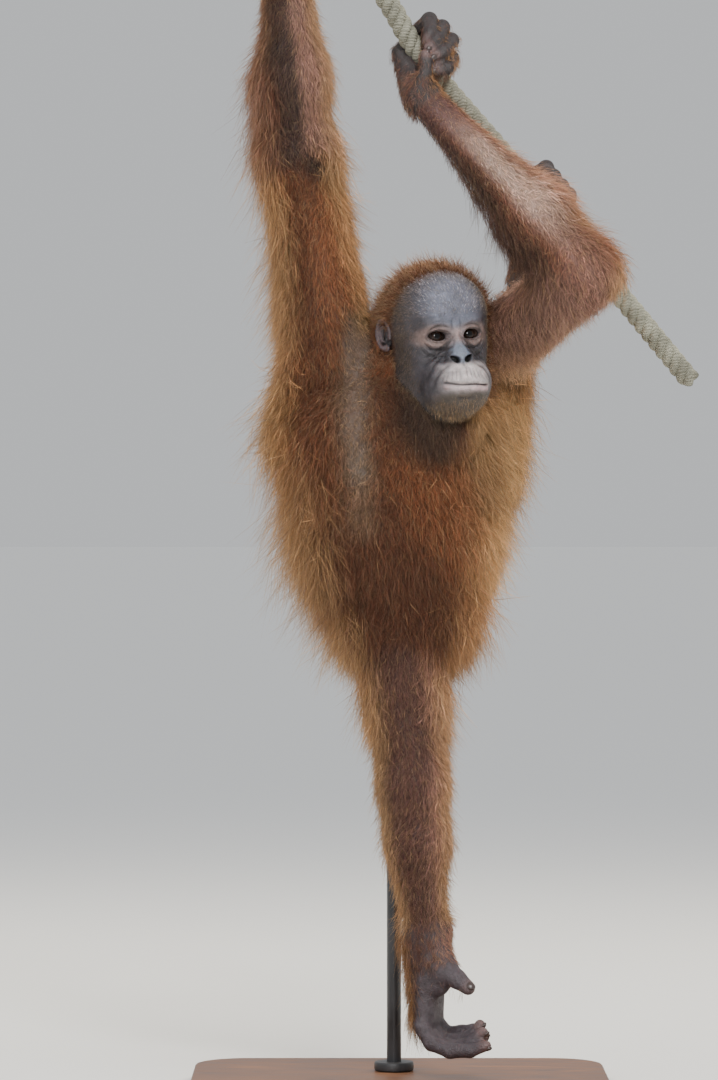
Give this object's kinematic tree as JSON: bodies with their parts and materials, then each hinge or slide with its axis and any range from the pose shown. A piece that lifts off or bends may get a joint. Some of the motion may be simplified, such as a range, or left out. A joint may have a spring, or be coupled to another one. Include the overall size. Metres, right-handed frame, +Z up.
{
  "type": "orangutan",
  "caption": "Young ape with a long shaggy coat, still and life-size, hanging by its long arms and one foot from a short length of rope, carried by a flat base and a rod.",
  "frame": {"origin": "middle of the underside of the stand's base", "axes": "+Z up, -Y towards the viewer whom the animal faces, +X to that viewer's right, which is the animal's left side"},
  "size_m": [0.563, 0.3954, 1.4387],
  "materials": {
    "coat": "long silky red-brown hair",
    "skin": "bare grey-brown skin",
    "eye": "wet dark brown",
    "rope": "weathered pale laid fibre",
    "stand_board": "matt black paint",
    "stand_metal": "matt black paint"
  },
  "bodies": {
    "root": {"torso": "coat", "neck": "coat", "head": "skin", "ear_right": "skin", "ear_left": "skin", "eye_right": "eye", "eye_left": "eye", "upper_arm_right": "coat", "forearm_right": "coat", "hand_right": "skin", "upper_arm_left": "coat", "forearm_left": "coat", "hand_left": "skin", "thigh_right": "coat", "shin_right": "coat", "foot_right": "skin", "thigh_left": "coat", "shin_left": "coat", "foot_left": "skin", "rope": "rope", "stand_base": "stand_board", "stand_collar": "stand_metal", "stand_rod": "stand_metal"}
  },
  "joints": []
}
